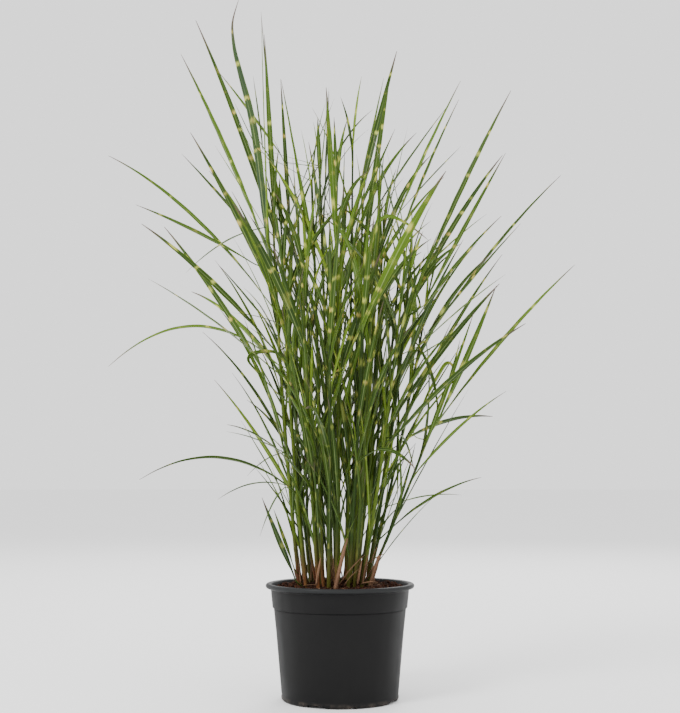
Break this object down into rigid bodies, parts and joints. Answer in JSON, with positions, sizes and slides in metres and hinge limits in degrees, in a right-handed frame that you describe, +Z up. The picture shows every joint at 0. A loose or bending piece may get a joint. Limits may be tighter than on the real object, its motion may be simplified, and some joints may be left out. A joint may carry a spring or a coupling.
{
  "type": "potted miscanthus grass clump",
  "caption": "Zebra-striped miscanthus grass in a round black nursery pot, with upright culms fanning out from the soil and arching banded blades.",
  "frame": {"origin": "centre of the pot's foot on the floor, below the middle of the plant's outer box", "axes": "+Z up along the pot's axis and the plant's height, +X to the right and +Y to the back as seen from the front"},
  "size_m": [0.6153, 0.5364, 0.9511],
  "materials": {
    "pot_plastic": "satin black moulded polypropylene",
    "peat": "loose dark potting soil",
    "culm_green": "satin living stem",
    "leaf_green": "satin living leaf with pale yellow bands",
    "straw": "dry dull straw"
  },
  "bodies": {
    "root": {"culm_back": "culm_green", "culm_back_left": "culm_green", "culm_back_right": "culm_green", "culm_front": "culm_green", "culm_front_left": "culm_green", "culm_front_right": "culm_green", "culm_heart": "culm_green", "culm_heart_front": "culm_green", "culm_heart_left": "culm_green", "culm_left_back": "culm_green", "culm_left_edge": "culm_green", "culm_left_front": "culm_green", "culm_middle_left": "culm_green", "culm_middle_right": "culm_green", "culm_right": "culm_green", "culm_right_back": "culm_green", "culm_right_edge": "culm_green", "culm_right_front": "culm_green", "culm_right_heart": "culm_green", "culm_right_slanting": "culm_green", "leaf_back_1": "leaf_green", "leaf_back_2": "leaf_green", "leaf_back_left_1": "leaf_green", "leaf_back_left_2": "leaf_green", "leaf_back_right_1": "leaf_green", "leaf_back_right_2": "leaf_green", "leaf_front_1": "leaf_green", "leaf_front_2": "leaf_green", "leaf_front_left_1": "leaf_green", "leaf_front_left_2": "leaf_green", "leaf_front_right_1": "leaf_green", "leaf_front_right_2": "leaf_green", "leaf_heart_1": "leaf_green", "leaf_heart_front_1": "leaf_green", "leaf_heart_left_1": "leaf_green", "leaf_left_back_1": "leaf_green", "leaf_left_back_2": "leaf_green", "leaf_left_back_3": "leaf_green", "leaf_left_edge_1": "leaf_green", "leaf_left_edge_2": "leaf_green", "leaf_left_edge_3": "leaf_green", "leaf_left_front_1": "leaf_green", "leaf_left_front_2": "leaf_green", "leaf_left_front_3": "leaf_green", "leaf_middle_left_1": "leaf_green", "leaf_middle_right_1": "leaf_green", "leaf_right_1": "leaf_green", "leaf_right_2": "leaf_green", "leaf_right_3": "leaf_green", "leaf_right_back_1": "leaf_green", "leaf_right_back_2": "leaf_green", "leaf_right_edge_1": "leaf_green", "leaf_right_front_1": "leaf_green", "leaf_right_front_2": "leaf_green", "leaf_right_heart_1": "leaf_green", "leaf_right_slanting_1": "leaf_green", "pot": "pot_plastic", "soil": "peat", "straw_frayed": "straw", "straw_pink": "straw"}
  },
  "joints": []
}
